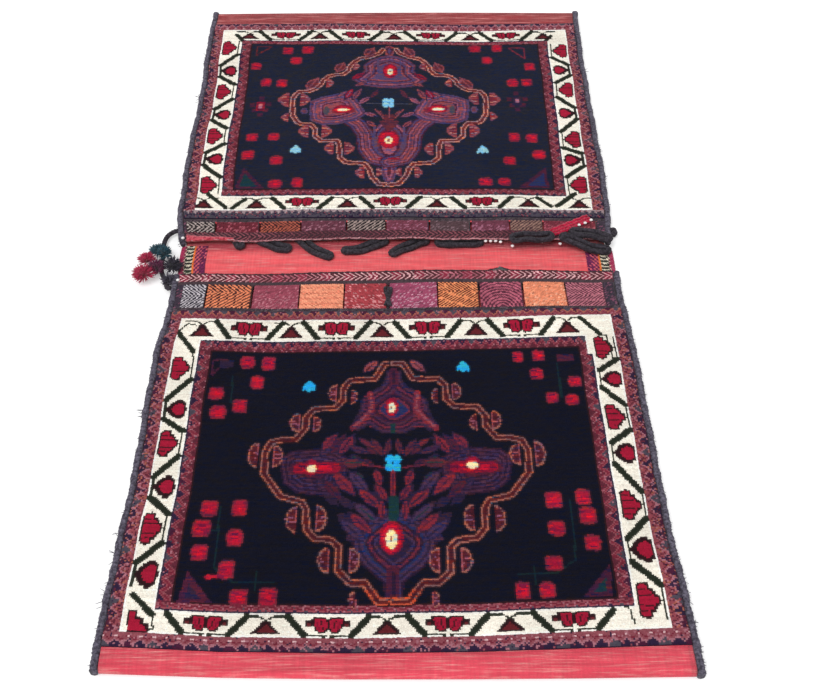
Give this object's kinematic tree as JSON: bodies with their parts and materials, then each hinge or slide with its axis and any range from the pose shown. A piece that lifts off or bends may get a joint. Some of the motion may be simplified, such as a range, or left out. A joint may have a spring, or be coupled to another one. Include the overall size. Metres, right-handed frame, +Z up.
{
  "type": "kilim saddle bag",
  "caption": "Double saddle bag: a woven strip folded into two pile-faced pockets joined by a bare bridge, with slit closures, braided loops and a tassel.",
  "frame": {"origin": "under the middle of the bag, on the surface that its back lies on", "axes": "+X to the right, +Y along the bag from the near pocket to the far one, +Z up out of the pile faces"},
  "size_m": [0.7397, 1.4, 0.024],
  "materials": {
    "red_kilim": "plain weave of red wool",
    "ivory_pile": "knotted pile of undyed wool",
    "navy_pile": "knotted pile of dark blue wool",
    "green_pile": "knotted pile of dark green wool",
    "terracotta_pile": "knotted pile of terracotta wool",
    "goat_hair": "braided goat hair",
    "loop_cord": "braided dark goat hair cord",
    "rose_wool": "loose rose wool",
    "teal_wool": "loose teal wool",
    "grey_soumak": "wrapped weave of grey wool",
    "orange_soumak": "wrapped weave of orange wool",
    "purple_soumak": "wrapped weave of purple wool",
    "apricot_soumak": "wrapped weave of apricot wool",
    "madder_soumak": "wrapped weave of madder red wool",
    "dark_soumak": "wrapped weave of dark brown wool"
  },
  "bodies": {
    "root": {"bridge_left_overcast": "rose_wool", "bridge_right_overcast": "rose_wool", "far_border_vine": "green_pile", "far_ivory_border": "ivory_pile", "far_left_binding": "goat_hair", "far_loop_1": "loop_cord", "far_loop_2": "loop_cord", "far_loop_3": "loop_cord", "far_loop_4": "loop_cord", "far_loop_5": "loop_cord", "far_loop_6": "loop_cord", "far_loop_7": "loop_cord", "far_loop_8": "loop_cord", "far_loop_9": "loop_cord", "far_medallion": "terracotta_pile", "far_navy_field": "navy_pile", "far_panel_01": "grey_soumak", "far_panel_02": "madder_soumak", "far_panel_03": "orange_soumak", "far_panel_04": "purple_soumak", "far_panel_05": "grey_soumak", "far_panel_06": "purple_soumak", "far_panel_07": "dark_soumak", "far_panel_08": "purple_soumak", "far_panel_09": "grey_soumak", "far_panel_10": "dark_soumak", "far_panel_11": "madder_soumak", "far_right_binding": "goat_hair", "lower_rose_tassel": "rose_wool", "near_border_vine": "green_pile", "near_ivory_border": "ivory_pile", "near_left_binding": "goat_hair", "near_loop_1": "loop_cord", "near_loop_2": "loop_cord", "near_loop_3": "loop_cord", "near_loop_4": "loop_cord", "near_loop_5": "loop_cord", "near_loop_6": "loop_cord", "near_loop_7": "loop_cord", "near_loop_8": "loop_cord", "near_loop_9": "loop_cord", "near_medallion": "terracotta_pile", "near_navy_field": "navy_pile", "near_panel_01": "grey_soumak", "near_panel_02": "orange_soumak", "near_panel_03": "purple_soumak", "near_panel_04": "apricot_soumak", "near_panel_05": "madder_soumak", "near_panel_06": "purple_soumak", "near_panel_07": "orange_soumak", "near_panel_08": "purple_soumak", "near_panel_09": "apricot_soumak", "near_panel_10": "purple_soumak", "near_right_binding": "goat_hair", "tassel_cord": "loop_cord", "teal_tassel": "teal_wool", "upper_rose_tassel": "rose_wool", "wool_strap": "rose_wool", "woven_strip": "red_kilim"}
  },
  "joints": []
}
